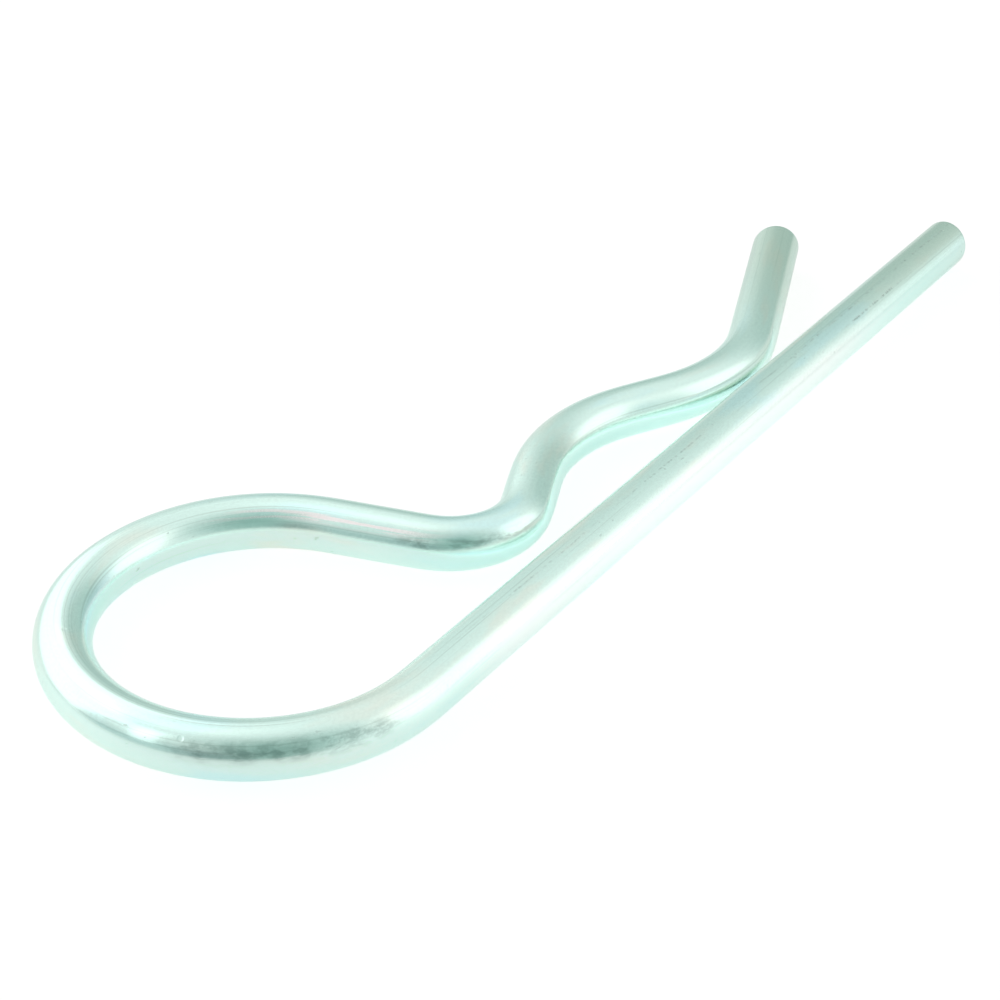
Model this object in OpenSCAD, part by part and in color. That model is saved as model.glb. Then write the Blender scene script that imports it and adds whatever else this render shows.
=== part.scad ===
// R clip: a retaining pin bent from one length of round spring wire.
// The straight leg goes through the cross hole of a shaft, and the wavy leg springs
// over the shaft until its pocket holds it. The clip lies flat on z = 0 with the straight
// leg pointing along +X. The origin is midway between the outer end of the head loop and
// the straight leg's tip, and midway across the head loop.

/* [Wire] */
// Diameter of the spring wire
wire_d = 5; // [4:0.1:6]
// Loss of diameter where the wire is stretched round a bend
bend_loss = 0.02; // [0.02:0.01:0.1]
// Radius of the rounded rim at each cropped end
end_round = 0.6; // [0.3:0.1:1]

/* [Straight leg] */
// Length of the straight leg, from the head loop to its tip
leg_len = 100; // [80:1:125]

/* [Head loop] */
// Inside diameter of the head loop
head_inner_d = 28; // [22:0.5:36]
// Angle at which the wavy leg dives from the head towards the straight leg
ramp_angle = 73; // [60:1:90]

/* [Neck] */
// Clear gap between the neck and the straight leg
neck_gap = 2.6; // [1.5:0.1:4]
// Inside radius of the neck bend
neck_bend_r = 4.5; // [3:0.1:6]

/* [Shaft pocket] */
// Angle at which the wavy leg rises from the neck into the pocket
rise_angle = 24; // [19:1:30]
// Clear height between the straight leg and the top of the pocket
pocket_gap = 7; // [5.5:0.1:9]
// Inside radius of the pocket, which is the radius of the largest shaft
pocket_bend_r = 14.5; // [11:0.1:18]

/* [Throat] */
// Angle at which the wavy leg falls from the pocket into the throat
fall_angle = 28; // [23:1:34]
// Clear gap between the throat and the straight leg
throat_gap = 0.55; // [0.2:0.05:2]
// Inside radius of the throat bend
throat_bend_r = 16; // [11:0.5:18]

/* [Flared tip] */
// Angle at which the wavy leg's tip flares away from the straight leg
flare_angle = 22; // [15:1:30]
// Length of the straight flare, from the throat bend to its tip
flare_len = 22; // [15:0.5:30]

/* [Hidden] */
$fn = 96;
wire_r = wire_d / 2;
bend_d = wire_d - bend_loss;
// How far a bend runs on inside the straight runs at its two ends
bend_lap = 0.25;
// Centreline radii of the bends
head_r = head_inner_d / 2 + wire_r;
neck_r = neck_bend_r + wire_r;
pocket_r = pocket_bend_r + wire_r;
throat_r = throat_bend_r + wire_r;
// Heights of the wire's centreline above the straight leg's axis, where it runs level
neck_y = wire_d + neck_gap;
pocket_y = wire_d + pocket_gap;
throat_y = wire_d + throat_gap;
// How far a bend of radius r moves sideways while it turns by angle a
function sagitta(r, a) = r * (1 - cos(a));
// The straight runs take up the height that the bends at their two ends leave
ramp_len = (2 * head_r - sagitta(head_r + neck_r, ramp_angle) - neck_y) / sin(ramp_angle);
rise_len = (pocket_y - neck_y - sagitta(neck_r + pocket_r, rise_angle)) / sin(rise_angle);
fall_len = (pocket_y - throat_y - sagitta(pocket_r + throat_r, fall_angle)) / sin(fall_angle);
steel = [0.74, 0.86, 0.82];

// A straight run of wire along +X. What follows it in the wire is its child.
module run(len) {
    rotate([0, 90, 0]) cylinder(d = wire_d, h = len);
    translate([len, 0, 0]) children();
}

// A bend in the clip's plane, to the left of +X for a positive angle and to the right
// for a negative one. What follows it in the wire is its child.
module bend(r, angle) {
    centre_y = sign(angle) * r;
    lap_angle = bend_lap / r * 180 / PI;
    first_angle = angle > 0 ? -90 : 90 + angle;
    translate([0, centre_y, 0]) {
        rotate(first_angle - lap_angle)
            rotate_extrude(angle = abs(angle) + 2 * lap_angle)
                translate([r, 0]) circle(d = bend_d);
        rotate(angle) translate([0, -centre_y, 0]) children();
    }
}

// A cropped end: a flat face whose rim is rounded, with the wire behind it
module cropped_end() {
    rotate([0, 90, 0])
        rotate_extrude() {
            square([wire_r - end_round, end_round]);
            translate([wire_r - end_round, 0])
                intersection() {
                    circle(end_round);
                    square(end_round);
                }
        }
}

// The whole wire in the order in which it is bent, from the straight leg's tip at
// [leg_len, 0, 0] back to the head, round it, and out along the wavy leg to the flare
module bent_wire() {
    translate([leg_len - end_round, 0, 0]) {
        cropped_end();
        rotate(180)
            run(leg_len - end_round)
            bend(head_r, -180 - ramp_angle)
            run(ramp_len)
            bend(neck_r, ramp_angle + rise_angle)
            run(rise_len)
            bend(pocket_r, -rise_angle - fall_angle)
            run(fall_len)
            bend(throat_r, fall_angle + flare_angle)
            run(flare_len - end_round)
            cropped_end();
    }
}

module r_clip() {
    color(steel)
        translate([(head_r + wire_r - leg_len) / 2, -head_r, wire_r])
            bent_wire();
}

r_clip();
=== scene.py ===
from math import cos, degrees, pi, radians, sin

import bpy
from mathutils import Matrix, Quaternion, Vector


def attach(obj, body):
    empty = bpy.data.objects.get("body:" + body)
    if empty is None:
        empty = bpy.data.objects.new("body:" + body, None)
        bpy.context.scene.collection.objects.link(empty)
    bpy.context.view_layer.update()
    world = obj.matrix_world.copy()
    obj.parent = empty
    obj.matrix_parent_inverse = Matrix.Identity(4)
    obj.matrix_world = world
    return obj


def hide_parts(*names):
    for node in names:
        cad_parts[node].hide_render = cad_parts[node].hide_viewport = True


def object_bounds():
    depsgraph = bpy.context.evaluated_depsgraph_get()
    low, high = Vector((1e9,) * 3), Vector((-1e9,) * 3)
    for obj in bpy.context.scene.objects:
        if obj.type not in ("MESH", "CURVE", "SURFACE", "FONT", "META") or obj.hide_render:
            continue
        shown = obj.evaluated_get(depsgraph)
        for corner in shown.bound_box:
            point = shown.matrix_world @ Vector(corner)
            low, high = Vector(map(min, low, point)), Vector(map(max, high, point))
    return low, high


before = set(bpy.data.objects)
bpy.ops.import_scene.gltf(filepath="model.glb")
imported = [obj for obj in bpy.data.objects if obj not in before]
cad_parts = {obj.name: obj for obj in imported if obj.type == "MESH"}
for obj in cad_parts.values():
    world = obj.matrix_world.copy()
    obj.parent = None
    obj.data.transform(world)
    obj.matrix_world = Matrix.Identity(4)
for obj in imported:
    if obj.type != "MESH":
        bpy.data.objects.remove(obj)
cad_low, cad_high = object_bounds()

# ---------------------------------------------------------------------------------------
# The wire's route. The clip is one length of round spring wire, cropped from a coil that
# has been straightened, and bent cold in one plane round four pins of a bending tool.
# ---------------------------------------------------------------------------------------

MM = 0.001
wire_r = (cad_high[2] - cad_low[2]) / 2
leg_len = 100 * MM
flare_len = 22 * MM

head_r = 14 * MM + wire_r
neck_r = 4.5 * MM + wire_r
pocket_r = 14.5 * MM + wire_r
throat_r = 16 * MM + wire_r

ramp_angle = radians(73)
rise_angle = radians(24)
fall_angle = radians(28)
flare_angle = radians(22)

# Heights of the wire's centreline above the straight leg's, where the wavy leg runs level
neck_y = 2 * wire_r + 2.6 * MM
pocket_y = 2 * wire_r + 7 * MM
throat_y = 2 * wire_r + 0.55 * MM


def straight_between(climb, radii, angle):
    """The straight run that two bends leave when the wire climbs or falls between them."""
    return (climb - radii * (1 - cos(angle))) / sin(angle)


ramp_len = straight_between(2 * head_r - neck_y, head_r + neck_r, ramp_angle)
rise_len = straight_between(pocket_y - neck_y, neck_r + pocket_r, rise_angle)
fall_len = straight_between(pocket_y - throat_y, pocket_r + throat_r, fall_angle)

# Each bend: its centreline radius, how far it turns (left is positive), and the straight
# run that follows it. The wire starts at the straight leg's tip and heads along -X.
bends = [
    (head_r, -pi - ramp_angle, ramp_len),
    (neck_r, ramp_angle + rise_angle, rise_len),
    (pocket_r, -rise_angle - fall_angle, fall_len),
    (throat_r, fall_angle + flare_angle, flare_len),
]


def centreline(step):
    """Points of the wire's centreline, a step apart, each with its bend's tightness."""
    heading = pi
    at = Vector((cad_high[0], cad_low[1] + wire_r, cad_low[2] + wire_r))
    points = [(at.copy(), 0.0)]

    def go_straight(length):
        count = max(2, round(length / step))
        for i in range(1, count + 1):
            ahead = Vector((cos(heading), sin(heading), 0)) * (length * i / count)
            points.append((at + ahead, 0.0))
        return points[-1][0].copy()

    at = go_straight(leg_len)
    for radius, turn, run_on in bends:
        side = 1 if turn > 0 else -1
        centre = at + Vector((-sin(heading), cos(heading), 0)) * side * radius
        count = round(abs(turn) * radius / step)
        for i in range(1, count + 1):
            now = heading + turn * i / count
            out = Vector((sin(now), -cos(now), 0)) * side * radius
            points.append((centre + out, side / radius))
        heading += turn
        at = points[-1][0].copy()
        at = go_straight(run_on)
    return points


# The wire springs back as it leaves the tool, so each bend eases into the run beside it
route_step = 0.25 * MM
ease = 1.5 * MM
sharp = centreline(route_step)
reach = round(ease / route_step)
eased = []
for i in range(len(sharp)):
    n = min(reach, i, len(sharp) - 1 - i)
    near = sharp[i - n:i + n + 1]
    place = sum((point for point, tightness in near), Vector()) / len(near)
    eased.append((place, sum(tightness for point, tightness in near) / len(near)))

route = bpy.data.curves.new("wire_route", "CURVE")
route.dimensions = "3D"
spline = route.splines.new("POLY")
spline.points.add(len(eased) - 1)
# The wire thins a little where it is stretched round a bend, and most at the tight neck
bend_thinning = 0.025
for knot, (place, tightness) in zip(spline.points, eased):
    knot.co = (*place, 1)
    knot.radius = 1 - bend_thinning * abs(tightness) * wire_r

# ---------------------------------------------------------------------------------------
# The bent wire itself: drawn spring steel of round section. Its ends are cropped, so each
# has a face that leans a little, with one side of the rim rolled over and a rough break.
# ---------------------------------------------------------------------------------------


class Tree:
    """Shorthand for building a node tree: each call adds one node and wires its inputs."""

    def __init__(self, tree):
        self.tree = tree

    def node(self, kind, **settings):
        made = self.tree.nodes.new(kind)
        for name, value in settings.items():
            setattr(made, name, value)
        return made

    def feed(self, socket, value):
        if isinstance(value, bpy.types.NodeSocket):
            self.tree.links.new(value, socket)
        else:
            socket.default_value = value

    def math(self, operation, *inputs, clamp=False):
        made = self.node("ShaderNodeMath", operation=operation, use_clamp=clamp)
        for socket, value in zip(made.inputs, inputs):
            self.feed(socket, value)
        return made.outputs[0]

    def vector(self, operation, *inputs):
        made = self.node("ShaderNodeVectorMath", operation=operation)
        names = {"SCALE": ("Vector", "Scale")}.get(operation)
        sockets = [made.inputs[n] for n in names] if names else made.inputs
        for socket, value in zip(sockets, inputs):
            self.feed(socket, value)
        gives_number = operation in ("DOT_PRODUCT", "LENGTH")
        return made.outputs["Value"] if gives_number else made.outputs[0]

    def combine(self, x, y, z):
        made = self.node("ShaderNodeCombineXYZ")
        for socket, value in zip(made.inputs, (x, y, z)):
            self.feed(socket, value)
        return made.outputs[0]

    def split(self, vector):
        made = self.node("ShaderNodeSeparateXYZ")
        self.feed(made.inputs[0], vector)
        return made.outputs

    def noise(self, vector, scale, detail=2.0, roughness=0.5):
        made = self.node("ShaderNodeTexNoise")
        self.feed(made.inputs["Vector"], vector)
        made.inputs["Scale"].default_value = scale
        made.inputs["Detail"].default_value = detail
        made.inputs["Roughness"].default_value = roughness
        return made.outputs[0]

    def smooth(self, value, low, high, to_low=0.0, to_high=1.0):
        made = self.node("ShaderNodeMapRange", interpolation_type="SMOOTHSTEP")
        for socket, item in zip(made.inputs, (value, low, high, to_low, to_high)):
            self.feed(socket, item)
        return made.outputs[0]


zinc = bpy.data.materials.new("zinc_plate")

sweep = bpy.data.node_groups.new("bent_wire_sweep", "GeometryNodeTree")
for name, kind in (
    ("Route", "NodeSocketGeometry"),
    ("Wire radius", "NodeSocketFloat"),
    ("Rim radius", "NodeSocketFloat"),
    ("Crop lean", "NodeSocketFloat"),
    ("Break roughness", "NodeSocketFloat"),
    ("Surface waviness", "NodeSocketFloat"),
    ("Rings", "NodeSocketInt"),
    ("Face rings", "NodeSocketInt"),
    ("Rim rings", "NodeSocketInt"),
    ("Facets round", "NodeSocketInt"),
    ("Finish", "NodeSocketMaterial"),
):
    sweep.interface.new_socket(name, in_out="INPUT", socket_type=kind)
sweep.interface.new_socket("Wire", in_out="OUTPUT", socket_type="NodeSocketGeometry")

g = Tree(sweep)
given = g.node("NodeGroupInput").outputs
radius = given["Wire radius"]

# A grid, one row for each ring, which is rolled into a tube
rows = g.node("GeometryNodeMeshGrid")
g.feed(rows.inputs["Vertices X"], given["Rings"])
g.feed(rows.inputs["Vertices Y"], g.math("ADD", given["Facets round"], 1))
index = g.node("GeometryNodeInputIndex").outputs[0]
columns = g.math("ADD", given["Facets round"], 1)
ring = g.math("FLOOR", g.math("DIVIDE", g.math("ADD", index, 0.5), columns))
column = g.math("SUBTRACT", index, g.math("MULTIPLY", ring, columns))
angle = g.math("MULTIPLY", column, g.math("DIVIDE", 2 * pi, given["Facets round"]))
last_ring = g.math("SUBTRACT", given["Rings"], 1)
from_end = g.math("MINIMUM", ring, g.math("SUBTRACT", last_ring, ring))
at_far_end = g.math("GREATER_THAN", ring, g.math("MULTIPLY", last_ring, 0.5))

# Going in from either end, the first rings cross its face, the next ones turn over its
# rim, and the rest share out the wall up to the middle of the wire. The cropping blade
# came in from one side, where the rim is rolled over most.
blade_side = 0.9
rim_unevenness = 0.55
from_blade = g.math("COSINE", g.math("ADD", angle, blade_side))
rolled = g.math("ADD", 1, g.math("MULTIPLY", rim_unevenness, from_blade))
rim = g.math("MULTIPLY", given["Rim radius"], rolled)
face = g.math("SUBTRACT", radius, rim)
end_rings = g.math("ADD", given["Face rings"], given["Rim rings"])
wall_rings = g.math("SUBTRACT", g.math("MULTIPLY", last_ring, 0.5), end_rings)
face_share = g.math("DIVIDE", from_end, given["Face rings"], clamp=True)
past_face = g.math("SUBTRACT", from_end, given["Face rings"])
rim_share = g.math("DIVIDE", past_face, given["Rim rings"], clamp=True)
past_rim = g.math("SUBTRACT", from_end, end_rings)
wall_share = g.math("DIVIDE", past_rim, wall_rings, clamp=True)
rim_turn = g.math("MULTIPLY", rim_share, pi / 2)
face_spread = g.math("MULTIPLY", face, face_share)
rim_spread = g.math("MULTIPLY", rim, g.math("SINE", rim_turn))
spread = g.math("ADD", face_spread, rim_spread)
rim_depth = g.math("MULTIPLY", rim, g.math("SUBTRACT", 1, g.math("COSINE", rim_turn)))
route_length = g.node("GeometryNodeCurveLength")
g.feed(route_length.inputs[0], given["Route"])
half_length = g.math("MULTIPLY", route_length.outputs[0], 0.5)
wall_depth = g.math("MULTIPLY", wall_share, g.math("SUBTRACT", half_length, rim))
depth = g.math("ADD", rim_depth, wall_depth)

# The crop: the face leans, and its half away from the blade broke off rough
across = g.math("MULTIPLY", spread, from_blade)
near_end = g.smooth(depth, 0.0, g.math("MULTIPLY", radius, 3), 1.0, 0.0)
lean = g.math("MULTIPLY", g.math("ADD", across, radius), given["Crop lean"])
on_face = g.math("SUBTRACT", 1, rim_share)
face_place = g.combine(across, g.math("MULTIPLY", spread, g.math("SINE", angle)), at_far_end)
grains_per_m = 1600
rough_break = g.math("SUBTRACT", g.noise(face_place, grains_per_m, 4), 0.5)
all_broken = g.math("MULTIPLY", radius, -0.1)
none_broken = g.math("MULTIPLY", radius, 0.35)
broken = g.smooth(across, all_broken, none_broken, 1.0, 0.0)
break_depth = g.math("MULTIPLY", rough_break, given["Break roughness"])
break_depth = g.math("MULTIPLY", break_depth, g.math("MULTIPLY", broken, on_face))
depth = g.math("ADD", depth, g.math("MULTIPLY", lean, near_end))
depth = g.math("ADD", depth, break_depth)

# Where each ring sits on the route
mirrored = g.math("SUBTRACT", route_length.outputs[0], depth)
along = g.node("GeometryNodeSwitch", input_type="FLOAT")
g.feed(along.inputs["Switch"], at_far_end)
g.feed(along.inputs["False"], depth)
g.feed(along.inputs["True"], mirrored)
place = g.node(
    "GeometryNodeSampleCurve", mode="LENGTH", data_type="FLOAT", use_all_curves=True
)
g.feed(place.inputs["Curves"], given["Route"])
g.feed(place.inputs["Value"], g.node("GeometryNodeInputRadius").outputs[0])
g.feed(place.inputs["Length"], along.outputs[0])
section = place.outputs["Value"]
sideways = g.vector("CROSS_PRODUCT", (0, 0, 1), place.outputs["Tangent"])

# The straightened wire is only nearly round and nearly straight-walled. Its waves are
# four times as long as they are wide.
wave_squeeze = 0.25
waves_per_m = 420
round_place = g.combine(
    g.math("MULTIPLY", along.outputs[0], wave_squeeze),
    g.math("MULTIPLY", radius, g.math("COSINE", angle)),
    g.math("MULTIPLY", radius, g.math("SINE", angle)),
)
wave = g.math("SUBTRACT", g.noise(round_place, waves_per_m, 1), 0.5)
swell = g.math("ADD", 1, g.math("MULTIPLY", wave, given["Surface waviness"]))
spread = g.math("MULTIPLY", g.math("MULTIPLY", spread, section), swell)
side_part = g.vector("SCALE", sideways, g.math("MULTIPLY", spread, g.math("COSINE", angle)))
up_part = g.combine(0.0, 0.0, g.math("MULTIPLY", spread, g.math("SINE", angle)))
settled = g.vector("ADD", place.outputs["Position"], g.vector("ADD", side_part, up_part))

# The place on the straight wire, before it was bent, is kept for the finish to follow,
# and so is whether it lies on a cropped face
as_drawn = g.combine(
    along.outputs[0],
    g.math("MULTIPLY", spread, g.math("COSINE", angle)),
    g.math("MULTIPLY", spread, g.math("SINE", angle)),
)
kept = g.node("GeometryNodeStoreNamedAttribute", data_type="FLOAT_VECTOR", domain="POINT")
g.feed(kept.inputs["Geometry"], rows.outputs["Mesh"])
kept.inputs["Name"].default_value = "as_drawn"
g.feed(kept.inputs["Value"], as_drawn)
crop_kept = g.node("GeometryNodeStoreNamedAttribute", data_type="FLOAT", domain="POINT")
g.feed(crop_kept.inputs["Geometry"], kept.outputs[0])
crop_kept.inputs["Name"].default_value = "cropped"
g.feed(crop_kept.inputs["Value"], on_face)
moved = g.node("GeometryNodeSetPosition")
g.feed(moved.inputs["Geometry"], crop_kept.outputs[0])
g.feed(moved.inputs["Position"], settled)
# The grid's seam and the middle of each face are merged, and its faces turned outward
seam_gap = 0.002 * MM
closed = g.node("GeometryNodeMergeByDistance")
g.feed(closed.inputs["Geometry"], moved.outputs[0])
g.feed(closed.inputs["Distance"], seam_gap)
outward = g.node("GeometryNodeFlipFaces")
g.feed(outward.inputs["Mesh"], closed.outputs[0])
smoothed = g.node("GeometryNodeSetShadeSmooth")
g.feed(smoothed.inputs[0], outward.outputs[0])
realized = g.node("GeometryNodeRealizeInstances")
g.feed(realized.inputs[0], smoothed.outputs[0])
finished = g.node("GeometryNodeSetMaterial")
g.feed(finished.inputs["Geometry"], realized.outputs[0])
g.feed(finished.inputs["Material"], given["Finish"])
g.feed(g.node("NodeGroupOutput").inputs[0], finished.outputs[0])

route_object = bpy.data.objects.new("wire_route", route)
bpy.context.scene.collection.objects.link(route_object)
sweeping = route_object.modifiers.new("sweep", "NODES")
sweeping.node_group = sweep
settings = {
    "Wire radius": wire_r,
    "Rim radius": 0.45 * MM,
    "Crop lean": 0.06,
    "Break roughness": 0.12 * MM,
    "Surface waviness": 0.012,
    "Rings": 941,
    "Face rings": 22,
    "Rim rings": 10,
    "Facets round": 80,
    "Finish": zinc,
}
for item in sweep.interface.items_tree:
    if item.name in settings:
        sweeping[item.identifier] = settings[item.name]
ready = route_object.evaluated_get(bpy.context.evaluated_depsgraph_get())
wire_mesh = bpy.data.meshes.new_from_object(ready, preserve_all_data_layers=True)
wire_mesh.name = "bent_wire"
bent_wire = bpy.data.objects.new("bent_wire", wire_mesh)
bpy.context.scene.collection.objects.link(bent_wire)
bpy.data.objects.remove(route_object)

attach(bent_wire, "root")
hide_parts("r_clip")

# ---------------------------------------------------------------------------------------
# The finish: bright electroplated zinc with a clear passivate that tints it a pale mint.
# The die left fine lines along the wire, which the plating follows; handling left nicks.
# Places are given in mm along the wire from the straight leg's tip, and in degrees round
# it: 0 is the side that faces away from the wavy leg, on the straight leg, and 90 is up.
# ---------------------------------------------------------------------------------------

zinc.use_nodes = True
zinc.node_tree.nodes.clear()
z = Tree(zinc.node_tree)


def attribute(name, output):
    read = z.node("ShaderNodeAttribute", attribute_name=name)
    return read.outputs[output]


as_drawn = attribute("as_drawn", "Vector")
drawn_x, drawn_y, drawn_z = z.split(as_drawn)
lengthwise = z.math("DIVIDE", drawn_x, MM)
round_angle = z.math("MULTIPLY", z.math("ARCTAN2", drawn_z, drawn_y), degrees(1))
cropped = attribute("cropped", "Fac")
on_wall = z.math("SUBTRACT", 1, cropped)


def stretched(along, across, offset=0.0):
    """Places on the straight wire, scaled by features for each metre along and across it."""
    return z.combine(
        z.math("MULTIPLY_ADD", drawn_x, along, offset),
        z.math("MULTIPLY", drawn_y, across),
        z.math("MULTIPLY", drawn_z, across),
    )


def patch(start, end, fade, middle, spread):
    """1 on one stretch of wall in mm, on one side of it in degrees, fading to 0 round it."""
    in_length = z.math(
        "MULTIPLY",
        z.smooth(lengthwise, start - fade, start + fade),
        z.smooth(lengthwise, end - fade, end + fade, 1.0, 0.0),
    )
    turned = z.math("SUBTRACT", round_angle, middle)
    aside = z.math("ABSOLUTE", z.math("WRAP", turned, 180, -180))
    on_side = z.math("MULTIPLY", on_wall, z.smooth(aside, 0.0, spread, 1.0, 0.0))
    return z.math("MULTIPLY", in_length, on_side)


def lay_over(under, over, amount):
    mix = z.node("ShaderNodeMix", data_type="RGBA")
    z.feed(mix.inputs["Factor"], amount)
    z.feed(mix.inputs[6], under)
    z.feed(mix.inputs[7], over)
    return mix.outputs[2]


mint = (0.70, 0.915, 0.845, 1)
cyan = (0.64, 0.91, 0.90, 1)
straw = (0.78, 0.87, 0.78, 1)
painted_shade_green = (0.55, 0.84, 0.77, 1)
painted_reflection_mint = (0.66, 0.96, 0.88, 1)
vivid = (0.62, 0.97, 0.87, 1)
blue = (0.66, 0.92, 0.97, 1)
painted_reflection_pale = (0.86, 0.925, 0.90, 1)
tip_grey = (0.60, 0.69, 0.565, 1)
rubbed = (0.98, 0.87, 0.87, 1)
dull = (0.42, 0.56, 0.50, 1)
painted_band_grey = (0.56, 0.62, 0.57, 1)
pressed = (0.30, 0.42, 0.38, 1)
grime = (0.28, 0.35, 0.32, 1)

# The passivate is a film of uneven thickness, which drifts from mint to cyan and to straw
film = z.noise(stretched(70, 260), 1, 3, 0.55)
colour = lay_over(mint, cyan, z.smooth(film, 0.54, 0.70, 0.0, 0.75))
colour = lay_over(colour, straw, z.smooth(film, 0.46, 0.30, 0.0, 0.8))

# It is painted a darker green on the wavy leg's side towards the straight leg, painted
# shade between the legs. Outside the straight leg's tip a brighter mint is painted, a
# painted reflection of the bright table there. The head loop's inside is vivid with a
# blue streak where it meets the ramp. The colour goes to a straw grey towards both tips,
# and on the straight leg's upper side near its tip that grey is painted shade. The rest
# of the straight leg is painted paler outside, a painted reflection of the bright table.
colour = lay_over(colour, painted_shade_green, z.math("MULTIPLY", patch(182, 226, 6, 188, 62), 0.85))
# Painted reflection: a brighter mint on the outer side of the straight leg's tip
colour = lay_over(colour, painted_reflection_mint, z.math("MULTIPLY", patch(4, 30, 8, 10, 58), 0.9))
colour = lay_over(colour, vivid, z.math("MULTIPLY", patch(134, 149, 6, 160, 50), 0.8))
colour = lay_over(colour, blue, z.math("MULTIPLY", patch(137, 149, 4, 146, 22), 0.6))
# Painted shade: the straight leg's upper side is greyed near its tip; the colour also greys
# all round towards the flare tip
upper_side = z.math("MAXIMUM", cropped, z.smooth(round_angle, 30, 60))
near_tip = z.smooth(lengthwise, 2, 40, 0.48, 0.0)
colour = lay_over(colour, tip_grey, z.math("MULTIPLY", near_tip, upper_side))
colour = lay_over(colour, tip_grey, z.smooth(lengthwise, 228, 254, 0.0, 0.50))
# Painted reflection: the straight leg's outer, lower side is painted paler, as it mirrors the
# bright table beside it
on_leg = z.math("MULTIPLY", on_wall, z.smooth(lengthwise, 88, 99, 1.0, 0.0))
past_tip = z.smooth(lengthwise, 10, 38, 0.15, 1.0)
outer_side = z.smooth(z.math("ABSOLUTE", z.math("ADD", round_angle, 15)), 30, 75, 0.85, 0.0)
outer_side = z.math("MULTIPLY", outer_side, z.smooth(round_angle, -40, 10, 0.35, 1.0))
painted_reflection_part = z.math("MULTIPLY", z.math("MULTIPLY", on_leg, past_tip), outer_side)
colour = lay_over(colour, painted_reflection_pale, painted_reflection_part)

# Fine die lines, and a coarser set of them that comes and goes
fine_lines = z.noise(stretched(14, 5200), 1, 3, 0.6)
coarse_lines = z.noise(stretched(22, 1500, 7.0), 1, 2, 0.5)
fine_share, coarse_share = 0.55, 0.45
lines = z.math(
    "ADD",
    z.math("MULTIPLY", fine_lines, fine_share),
    z.math("MULTIPLY", coarse_lines, coarse_share),
)

# A deeper die scratch runs along the top of the straight leg, broken into dots and
# dashes, and a short one lies lower down near the tip
scratch_at = 86
scratch_sway = 22
sway = z.math("SUBTRACT", z.noise(stretched(60, 0, 3.0), 1, 3), 0.5)
wander = z.math("MULTIPLY", sway, scratch_sway)
scratch_line = z.math("ADD", wander, scratch_at)
scratch_side = z.math("ABSOLUTE", z.math("SUBTRACT", round_angle, scratch_line))
dashes = z.smooth(z.noise(stretched(1300, 600, 11.0), 1, 5, 0.85), 0.47, 0.61)
comes_and_goes = z.smooth(z.noise(stretched(75, 0, 43.0), 1, 2), 0.38, 0.60, 0.3, 1.0)
comes_and_goes = z.math("MULTIPLY", comes_and_goes, z.smooth(lengthwise, 30, 60, 1.0, 0.55))
scratch = z.math("MULTIPLY", z.smooth(scratch_side, 0.4, 3.4, 1.0, 0.0), dashes)
scratch = z.math("MULTIPLY", z.math("MULTIPLY", scratch, comes_and_goes), on_leg)
short_scratch = z.math("MULTIPLY", z.smooth(dashes, 0.0, 0.6), patch(16, 27, 2, 55, 4))
scratch = z.math("MAXIMUM", scratch, short_scratch)

# Small nicks from tumbling in the plating barrel, sparse and a little longer than wide
nick_field = z.noise(stretched(1100, 2100, 19.0), 1, 2, 0.6)
nick_region = z.smooth(z.noise(stretched(110, 240, 5.0), 1, 1), 0.54, 0.66)
nicks = z.math("MULTIPLY", z.smooth(nick_field, 0.67, 0.73), nick_region)

# Smudges under the plating where the bending tool pressed, on the head and at the neck.
# On the head they lie in a band of painted shade, a dark reflection painted into the colour.
press_field = z.noise(stretched(650, 1200, 31.0), 1, 4, 0.6)
pressed_places = z.math("ADD", patch(105, 120.5, 2, 31, 31), patch(180, 190, 2, 148, 18))
press = z.math("MULTIPLY", z.smooth(press_field, 0.40, 0.64), pressed_places)
painted_band_shade = z.math("MULTIPLY", patch(111, 120.5, 1.5, 31, 31), 0.4)

# Rubbed streaks on top of the ramp, where the clip slid over its neighbours
rub_field = z.noise(stretched(90, 2600, 23.0), 1, 3, 0.6)
rub = z.math("MULTIPLY", z.smooth(rub_field, 0.46, 0.56), patch(163, 182, 4, 132, 20))

# Single dings: how far along the wire, the side it is on, and its size in mm
dings = [
    (2.5, 83, 0.5),
    (70, -14, 0.5),
    (86, -30, 0.6),
    (99, 31, 0.5),
    (120.4, 49, 0.6),
    (138, 97, 0.5),
]
dent = 0.0
for where, side, size in dings:
    off_along = z.math("SUBTRACT", lengthwise, where)
    off_turn = z.math("SUBTRACT", round_angle, side)
    off_round = z.math("MULTIPLY", off_turn, radians(wire_r / MM))
    round_square = z.math("MULTIPLY", off_round, off_round)
    square = z.math("MULTIPLY_ADD", off_along, off_along, round_square)
    dent = z.math("ADD", dent, z.smooth(square, 0.0, (size / 2) ** 2, 1.0, 0.0))

marks = z.math("MAXIMUM", z.math("MULTIPLY", scratch, 0.7), z.math("MULTIPLY", nicks, 0.40))
colour = lay_over(colour, dull, z.smooth(lines, 0.44, 0.36, 0.0, 0.35))
# Painted shade: the dark band on the head loop
colour = lay_over(colour, painted_band_grey, painted_band_shade)
colour = lay_over(colour, pressed, z.math("MULTIPLY", press, 0.75))
colour = lay_over(colour, grime, marks)
colour = lay_over(colour, rubbed, z.math("MULTIPLY", rub, 0.9))

# The plating itself has a fine grain
grain = z.noise(stretched(3600, 3600, 53.0), 1, 2, 0.6)
colour = lay_over(colour, dull, z.smooth(grain, 0.60, 0.36, 0.0, 0.08))

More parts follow.
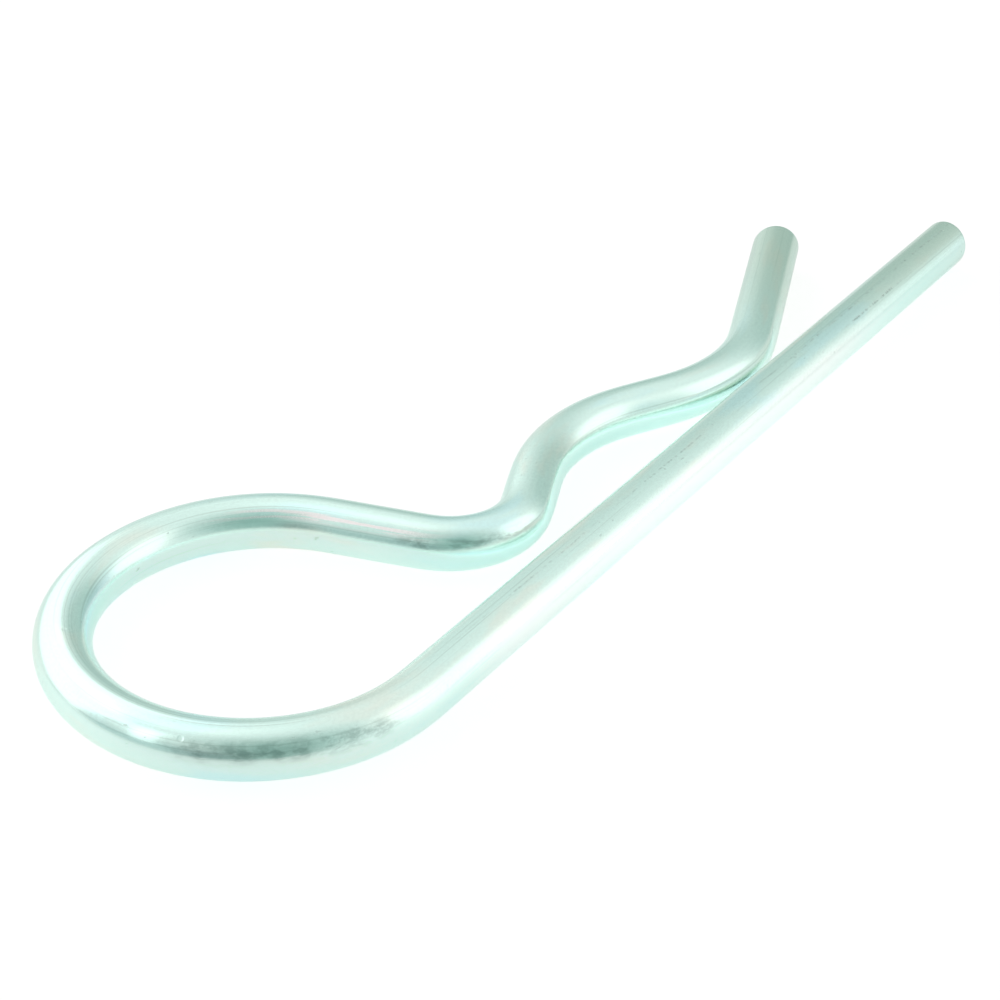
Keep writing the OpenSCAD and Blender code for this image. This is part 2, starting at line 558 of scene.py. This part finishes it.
# The shine is sharpest along the die lines, and duller where it is marked or cropped
sharpest, dullest = 0.15, 0.24
worn_roughness = 0.12
crop_roughness = 0.18
roughness = z.smooth(lines, 0.35, 0.65, sharpest, dullest)
roughness = z.math("ADD", roughness, z.smooth(grain, 0.36, 0.64, -0.01, 0.02))
worn = z.math("MAXIMUM", marks, rub)
roughness = z.math("ADD", roughness, z.math("MULTIPLY", worn, worn_roughness))
roughness = z.math("ADD", roughness, z.math("MULTIPLY", cropped, crop_roughness))

line_height = 0.0030 * MM
relief = z.math("MULTIPLY", lines, line_height)
for mark, mark_depth in ((marks, 0.015 * MM), (press, 0.006 * MM), (dent, 0.014 * MM)):
    relief = z.math("SUBTRACT", relief, z.math("MULTIPLY", mark, mark_depth))
bump = z.node("ShaderNodeBump")
bump.inputs["Distance"].default_value = 1.0
z.feed(bump.inputs["Height"], relief)

shader = z.node("ShaderNodeBsdfPrincipled")
shader.inputs["Metallic"].default_value = 1.0
shader.inputs["Specular Tint"].default_value = (0.83, 0.89, 0.87, 1)
z.feed(shader.inputs["Base Color"], colour)
z.feed(shader.inputs["Roughness"], roughness)
z.feed(shader.inputs["Normal"], bump.outputs[0])
surface = z.node("ShaderNodeOutputMaterial")
z.feed(surface.inputs["Surface"], shader.outputs[0])

# ---------------------------------------------------------------------------------------
# The studio: a plain white table inside a small white tent, with a large softbox and a
# strip light close by on the left. The tent is open towards the camera and beside the
# strip light, and dim beyond the clip and low on the left, so the wire mirrors grey gaps
# there. Its right wall and its top glow.
# ---------------------------------------------------------------------------------------


def direction(azimuth, elevation):
    """The direction at an azimuth clockwise from +Y and an elevation, both in degrees."""
    turn, rise = radians(azimuth), radians(elevation)
    return Vector((cos(rise) * sin(turn), cos(rise) * cos(turn), sin(rise)))


table = bpy.data.materials.new("white_table")
table.use_nodes = True
table.node_tree.nodes.clear()
t = Tree(table.node_tree)
table_place = t.node("ShaderNodeTexCoord").outputs["Object"]


def spot(x, y, inner, outer):
    """1 round a place on the table, in mm, fading to 0 between two distances from it."""
    off = t.vector("LENGTH", t.vector("SUBTRACT", table_place, (x * MM, y * MM, 0)))
    return t.smooth(off, inner * MM, outer * MM, 1.0, 0.0)


# What the wire mirrors is a whiter table, which darkens where the wire shades it, with
# painted pools of light in front of the straight leg and beside the head. Mirrored twice
# or more it is pink, since each bounce off the plating turns it greener. The camera sees it
# white.
table_rays = t.node("ShaderNodeLightPath").outputs
in_mirror = table_rays["Is Glossy Ray"]
more_bounces = t.math("MAXIMUM", t.math("SUBTRACT", table_rays["Glossy Depth"], 1), 0)
bright_by_leg, bright_by_head = 0.34, 0.16
bright_place = t.math("MULTIPLY", spot(5, -60, 20, 85), bright_by_leg)
bright_place = t.math("MULTIPLY_ADD", spot(-60, 22, 6, 34), bright_by_head, bright_place)

shade, shade_in_mirror = 0.5, 0.4
matt = t.node("ShaderNodeBsdfDiffuse")
t.feed(matt.inputs["Color"], t.math("MULTIPLY_ADD", in_mirror, shade_in_mirror, shade))

glow_level, extra_for_camera, less_in_mirror, extra_each_bounce = 0.665, 0.06, 0.315, 0.12
strength = t.math("MULTIPLY_ADD", table_rays["Is Camera Ray"], extra_for_camera, glow_level)
change_in_mirror = t.math("SUBTRACT", bright_place, less_in_mirror)
strength = t.math("MULTIPLY_ADD", in_mirror, change_in_mirror, strength)
strength = t.math("MULTIPLY_ADD", more_bounces, extra_each_bounce, strength)
redder_each_bounce, bluer_at_second = 0.3, 0.15
pinker = t.math("MULTIPLY_ADD", more_bounces, redder_each_bounce, 1.0)
bluer = t.math("MULTIPLY_ADD", t.math("MINIMUM", more_bounces, 1), bluer_at_second, 1.0)
glow = t.node("ShaderNodeEmission")
t.feed(glow.inputs["Strength"], strength)
t.feed(glow.inputs["Color"], t.combine(pinker, 1.0, bluer))
both = t.node("ShaderNodeAddShader")
t.feed(both.inputs[0], matt.outputs[0])
t.feed(both.inputs[1], glow.outputs[0])
t.feed(t.node("ShaderNodeOutputMaterial").inputs["Surface"], both.outputs[0])

table_size = 6.0
table_mesh = bpy.data.meshes.new("table_top")
edge = table_size / 2
corners = [(-edge, -edge, 0), (edge, -edge, 0), (edge, edge, 0), (-edge, edge, 0)]
table_mesh.from_pydata(corners, [], [(0, 1, 2, 3)])
table_mesh.materials.append(table)
table_top = bpy.data.objects.new("table_top", table_mesh)
bpy.context.scene.collection.objects.link(table_top)


def softbox(name, azimuth, elevation, distance, width, height, brightness, lean=0.0):
    """A lamp of even brightness facing the clip, which adds to the tent's white of 1."""
    lamp = bpy.data.lights.new(name, "AREA")
    lamp.shape = "RECTANGLE"
    lamp.size = width
    lamp.size_y = height
    lamp.energy = brightness * pi * width * height
    lamp.color = (1, 0.96, 0.97)
    placed = bpy.data.objects.new(name, lamp)
    away = direction(azimuth, elevation)
    placed.location = away * distance
    leaning = Quaternion((0, 0, 1), radians(lean))
    placed.rotation_euler = (away.to_track_quat("Z", "Y") @ leaning).to_euler()
    placed.visible_camera = False
    bpy.context.scene.collection.objects.link(placed)


softbox("left_softbox", -5, 29, 0.45, 0.66, 0.47, 0.46)
softbox("strip_light", -69, 33, 0.45, 0.085, 0.32, 0.65, lean=15)

tent = bpy.data.worlds.new("white_tent")
bpy.context.scene.world = tent
tent.use_nodes = True
tent.node_tree.nodes.clear()
w = Tree(tent.node_tree)
looking = w.node("ShaderNodeTexCoord").outputs["Generated"]


def tinted(under, colour, azimuth, elevation, inner, outer, tall=1.0):
    """The tent's light times a colour round one direction, fading out between two angles."""
    middle = direction(azimuth, elevation)
    sideways = Vector((0, 0, 1)).cross(middle).normalized()
    across = w.vector("DOT_PRODUCT", looking, tuple(sideways))
    upward = w.vector("DOT_PRODUCT", looking, tuple(middle.cross(sideways)))
    upward = w.math("DIVIDE", upward, tall)
    square = w.math("MULTIPLY_ADD", across, across, w.math("MULTIPLY", upward, upward))
    inward = w.vector("DOT_PRODUCT", looking, tuple(middle))
    off_angle = w.math("ARCTAN2", w.math("SQRT", square), inward)
    mix = w.node("ShaderNodeMix", data_type="RGBA", blend_type="MULTIPLY")
    w.feed(mix.inputs["Factor"], w.smooth(off_angle, radians(inner), radians(outer), 1.0, 0.0))
    w.feed(mix.inputs[6], under)
    w.feed(mix.inputs[7], (*colour, 1))
    return mix.outputs[2]


def choose(factor, without, with_it):
    mix = w.node("ShaderNodeMix", data_type="RGBA")
    w.feed(mix.inputs["Factor"], factor)
    w.feed(mix.inputs[6], without)
    w.feed(mix.inputs[7], with_it)
    return mix.outputs[2]


# The gaps and glows: the colour of each, its azimuth and elevation, the two angles that
# it fades between, and how much taller it is than wide
towards_camera = ((0.37, 0.52, 0.49), -134, 28, 4, 59, 1.65)
beside_strip_light = ((0.66, 0.70, 0.71), -106, 12, 4, 24, 1.0)
beyond_clip = ((0.58, 0.66, 0.64), 82, 8, 22, 48, 0.9)
low_left = ((0.60, 0.70, 0.70), -78, -11, 28, 52, 1.0)
right_wall = ((1.46, 1.36, 1.36), 147, 20, 14, 28, 1.8)
tent_top = ((1.28, 1.28, 1.28), 6, 62, 5, 28, 1.0)
mirrored = (0.98, 0.98, 0.98, 1)
for part in (towards_camera, beside_strip_light, beyond_clip, low_left, right_wall, tent_top):
    mirrored = tinted(mirrored, *part)

# Mirrored twice or more the tent is pinkish, as the table is. The table is lit by a tent
# that is dimmer, and the camera sees a white one.
rays = w.node("ShaderNodeLightPath").outputs
dim_tent = (0.55, 0.55, 0.55, 1)
white_tent = (1, 1, 1, 1)
not_glossy = choose(rays["Is Camera Ray"], dim_tent, white_tent)
more_bounces = w.math("MAXIMUM", w.math("SUBTRACT", rays["Glossy Depth"], 1), 0)
pinkish = w.combine(
    w.math("MULTIPLY_ADD", more_bounces, 0.34, 1.02),
    w.math("MULTIPLY_ADD", more_bounces, 0.06, 0.96),
    w.math("MULTIPLY_ADD", more_bounces, 0.03, 1.05),
)
by_bounce = choose(w.math("MINIMUM", more_bounces, 1), mirrored, pinkish)
backdrop = w.node("ShaderNodeBackground")
w.feed(backdrop.inputs["Color"], choose(rays["Is Glossy Ray"], not_glossy, by_bounce))
w.feed(w.node("ShaderNodeOutputWorld").inputs["Surface"], backdrop.outputs[0])

# ---------------------------------------------------------------------------------------
# The camera: a short telephoto lens, close to the clip and looking down on it from beyond
# the head loop, so that both tips point away from it.
# ---------------------------------------------------------------------------------------

camera_azimuth = radians(-56.30)
camera_elevation = radians(32.50)
camera_roll = radians(0.47)
camera_distance = 216.3 * MM
clip_middle = (Vector(cad_low) + Vector(cad_high)) / 2
aim = clip_middle + Vector((-12.55, -5.44, 0)) * MM

back = Vector((
    sin(camera_azimuth) * cos(camera_elevation),
    -cos(camera_azimuth) * cos(camera_elevation),
    sin(camera_elevation),
))
level = Vector((cos(camera_azimuth), sin(camera_azimuth), 0))
upright = back.cross(level)
right = level * cos(camera_roll) + upright * sin(camera_roll)
up = upright * cos(camera_roll) - level * sin(camera_roll)

view_lens = bpy.data.cameras.new("studio_camera")
view_lens.sensor_width = 36
view_lens.lens = 85.23
view_lens.clip_start = 0.01
camera = bpy.data.objects.new("studio_camera", view_lens)
facing = Matrix((right, up, back)).transposed().to_4x4()
camera.matrix_world = Matrix.Translation(aim + back * camera_distance) @ facing
bpy.context.scene.collection.objects.link(camera)
bpy.context.scene.camera = camera
bpy.context.scene.view_settings.view_transform = "Standard"
